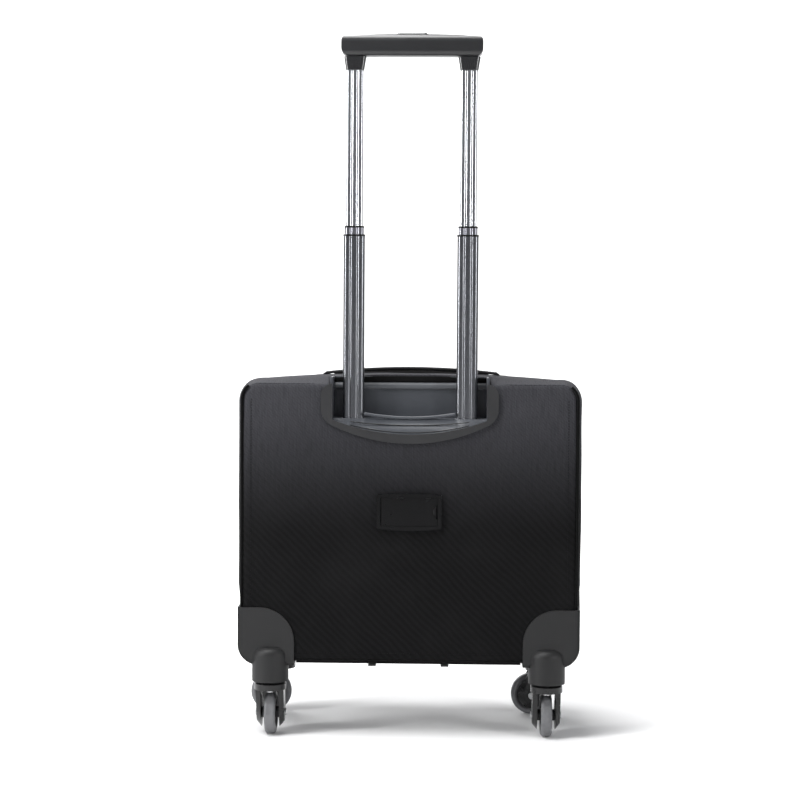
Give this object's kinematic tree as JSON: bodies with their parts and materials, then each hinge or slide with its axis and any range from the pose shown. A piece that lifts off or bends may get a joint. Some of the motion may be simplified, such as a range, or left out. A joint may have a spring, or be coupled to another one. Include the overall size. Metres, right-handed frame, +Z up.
{
  "type": "softside upright suitcase",
  "caption": "Upright fabric case with a telescoping trolley handle, zipped front lid and pockets, corner guards and swivelling caster wheels.",
  "frame": {"origin": "on the floor, on the centre line of the width and in the middle of the depth", "axes": "+Z up, +Y from the trolley side towards the pockets, +X to the right as seen from the trolley side"},
  "size_m": [0.4322, 0.2392, 0.8796],
  "materials": {
    "shell_fabric": "black ballistic weave, slightly dusty",
    "lining_fabric": "grey polyester lining",
    "board": "matte board",
    "spring_steel": "plated steel",
    "bezel_plastic": "fine-textured moulding",
    "housing_metal": "mill finish",
    "inner_plastic": "matte moulding",
    "guard_plastic": "fine-textured moulding",
    "id_plastic": "satin moulding",
    "card": "plain card",
    "strap": "webbing",
    "zip_tape": "coil zip tape",
    "lower_metal": "dark anodised",
    "middle_metal": "anodised",
    "upper_metal": "polished",
    "bush_plastic": "acetal",
    "grip_plastic": "soft-touch satin",
    "button_plastic": "satin gloss",
    "fork_plastic": "semi-gloss nylon",
    "axle_steel": "plated steel",
    "hub_plastic": "moulded nylon",
    "wheel_tyre": "grey polyurethane, lightly worn",
    "zip_metal": "gunmetal plating"
  },
  "bodies": {
    "case": {"rear_panel": "shell_fabric", "gusset": "shell_fabric", "rear_board": "board", "base_tray": "inner_plastic", "lining": "lining_fabric", "frame_hoop": "spring_steel", "handle_bezel": "bezel_plastic", "handle_well": "bezel_plastic", "housing_tubes": "housing_metal", "base_bracket": "inner_plastic", "skid_rails": "guard_plastic", "id_frame": "id_plastic", "id_card": "card", "corner_guard_left": "guard_plastic", "corner_guard_right": "guard_plastic", "front_housing_left": "guard_plastic", "front_housing_right": "guard_plastic", "kingpins": "spring_steel", "carry_anchors": "guard_plastic", "hinge_welt": "shell_fabric"},
    "lid": {"lid_shell": "shell_fabric", "upper_pocket": "shell_fabric", "lower_pocket": "shell_fabric", "pocket_zips": "zip_tape"},
    "lower_stage": {"lower_tubes": "lower_metal", "lower_bushes": "bush_plastic"},
    "middle_stage": {"middle_tubes": "middle_metal", "middle_bushes": "bush_plastic"},
    "upper_stage": {"upper_tubes": "upper_metal", "grip_ferrules": "grip_plastic", "grip_lower": "grip_plastic", "grip_upper": "grip_plastic"},
    "button": {"release_button": "button_plastic", "push_rods": "spring_steel"},
    "carry_handle": {"carry_handle": "strap"},
    "id_cover": {"id_cover": "id_plastic"},
    "caster_rear_left": {"fork_rear_left": "fork_plastic", "axle_rear_left": "axle_steel"},
    "wheel_rear_left": {"hub_rear_left": "hub_plastic", "tyre_rear_left": "wheel_tyre"},
    "caster_rear_right": {"fork_rear_right": "fork_plastic", "axle_rear_right": "axle_steel"},
    "wheel_rear_right": {"hub_rear_right": "hub_plastic", "tyre_rear_right": "wheel_tyre"},
    "caster_front_left": {"fork_front_left": "fork_plastic", "axle_front_left": "axle_steel"},
    "wheel_front_left": {"hub_front_left": "hub_plastic", "tyre_front_left": "wheel_tyre"},
    "caster_front_right": {"fork_front_right": "fork_plastic", "axle_front_right": "axle_steel"},
    "wheel_front_right": {"hub_front_right": "hub_plastic", "tyre_front_right": "wheel_tyre"},
    "slider_case_lower": {"slider_case_lower": "zip_metal"},
    "pull_case_lower": {"pull_case_lower": "zip_metal"},
    "slider_case_upper": {"slider_case_upper": "zip_metal"},
    "pull_case_upper": {"pull_case_upper": "zip_metal"},
    "slider_upper_pocket": {"slider_upper_pocket": "zip_metal"},
    "pull_upper_pocket": {"pull_upper_pocket": "zip_metal"},
    "slider_lower_pocket": {"slider_lower_pocket": "zip_metal"},
    "pull_lower_pocket": {"pull_lower_pocket": "zip_metal"}
  },
  "joints": [
    {"name": "lid_hinge", "type": "hinge", "parent": "case", "child": "lid", "pos_m": [0.2136, 0.0705, 0.272], "axis": [0, 0, -1], "range_deg": [0, 150]},
    {"name": "lower_slide", "type": "slide", "parent": "case", "child": "lower_stage", "axis": [0, 0, 1], "range_m": [-0.222, 0]},
    {"name": "middle_slide", "type": "slide", "parent": "lower_stage", "child": "middle_stage", "axis": [0, 0, 1], "range_m": [-0.006, 0.19]},
    {"name": "upper_slide", "type": "slide", "parent": "middle_stage", "child": "upper_stage", "axis": [0, 0, 1], "range_m": [-0.19, 0]},
    {"name": "button_press", "type": "slide", "parent": "upper_stage", "child": "button", "axis": [0, 0, 1], "range_m": [-0.003, 0], "stiffness_N_per_m": 1000, "springref_m": 0.004},
    {"name": "carry_lift", "type": "slide", "parent": "case", "child": "carry_handle", "axis": [0, 0, 1], "range_m": [0, 0.01]},
    {"name": "id_hinge", "type": "hinge", "parent": "case", "child": "id_cover", "pos_m": [-0.0338, -0.1093, 0.2845], "axis": [0, 0, -1], "range_deg": [0, 100]},
    {"name": "swivel_rear_left", "type": "hinge", "parent": "case", "child": "caster_rear_left", "pos_m": [-0.1735, -0.097, 0.064], "axis": [0, 0, 1], "continuous": true},
    {"name": "roll_rear_left", "type": "hinge", "parent": "caster_rear_left", "child": "wheel_rear_left", "pos_m": [-0.1735, -0.085, 0.027], "axis": [1, 0, 0], "continuous": true},
    {"name": "swivel_rear_right", "type": "hinge", "parent": "case", "child": "caster_rear_right", "pos_m": [0.1735, -0.097, 0.064], "axis": [0, 0, 1], "continuous": true},
    {"name": "roll_rear_right", "type": "hinge", "parent": "caster_rear_right", "child": "wheel_rear_right", "pos_m": [0.1735, -0.085, 0.027], "axis": [1, 0, 0], "continuous": true},
    {"name": "swivel_front_left", "type": "hinge", "parent": "case", "child": "caster_front_left", "pos_m": [-0.1735, 0.046, 0.064], "axis": [0, 0, 1], "continuous": true},
    {"name": "roll_front_left", "type": "hinge", "parent": "caster_front_left", "child": "wheel_front_left", "pos_m": [-0.1855, 0.046, 0.027], "axis": [0, 1, 0], "continuous": true},
    {"name": "swivel_front_right", "type": "hinge", "parent": "case", "child": "caster_front_right", "pos_m": [0.1735, 0.046, 0.064], "axis": [0, 0, 1], "continuous": true},
    {"name": "roll_front_right", "type": "hinge", "parent": "caster_front_right", "child": "wheel_front_right", "pos_m": [0.1615, 0.046, 0.027], "axis": [0, 1, 0], "continuous": true},
    {"name": "zip_case_lower", "type": "slide", "parent": "case", "child": "slider_case_lower", "axis": [0, 0, 1], "range_m": [-0.15, 0]},
    {"name": "pull_hinge_case_lower", "type": "hinge", "parent": "slider_case_lower", "child": "pull_case_lower", "pos_m": [-0.2156, 0.0705, 0.3], "axis": [0, 1, 0], "range_deg": [0, 150]},
    {"name": "zip_case_upper", "type": "slide", "parent": "case", "child": "slider_case_upper", "axis": [0, 0, 1], "range_m": [0, 0.08]},
    {"name": "pull_hinge_case_upper", "type": "hinge", "parent": "slider_case_upper", "child": "pull_case_upper", "pos_m": [-0.2156, 0.0705, 0.338], "axis": [0, 1, 0], "range_deg": [0, 150]},
    {"name": "zip_upper_pocket", "type": "slide", "parent": "lid", "child": "slider_upper_pocket", "axis": [1, 0, 0], "range_m": [0, 0.296]},
    {"name": "pull_hinge_upper_pocket", "type": "hinge", "parent": "slider_upper_pocket", "child": "pull_upper_pocket", "pos_m": [-0.148, 0.1084, 0.412], "axis": [1, 0, 0], "range_deg": [0, 150]},
    {"name": "zip_lower_pocket", "type": "slide", "parent": "lid", "child": "slider_lower_pocket", "axis": [1, 0, 0], "range_m": [0, 0.296]},
    {"name": "pull_hinge_lower_pocket", "type": "hinge", "parent": "slider_lower_pocket", "child": "pull_lower_pocket", "pos_m": [-0.148, 0.1174, 0.236], "axis": [1, 0, 0], "range_deg": [0, 150]}
  ]
}
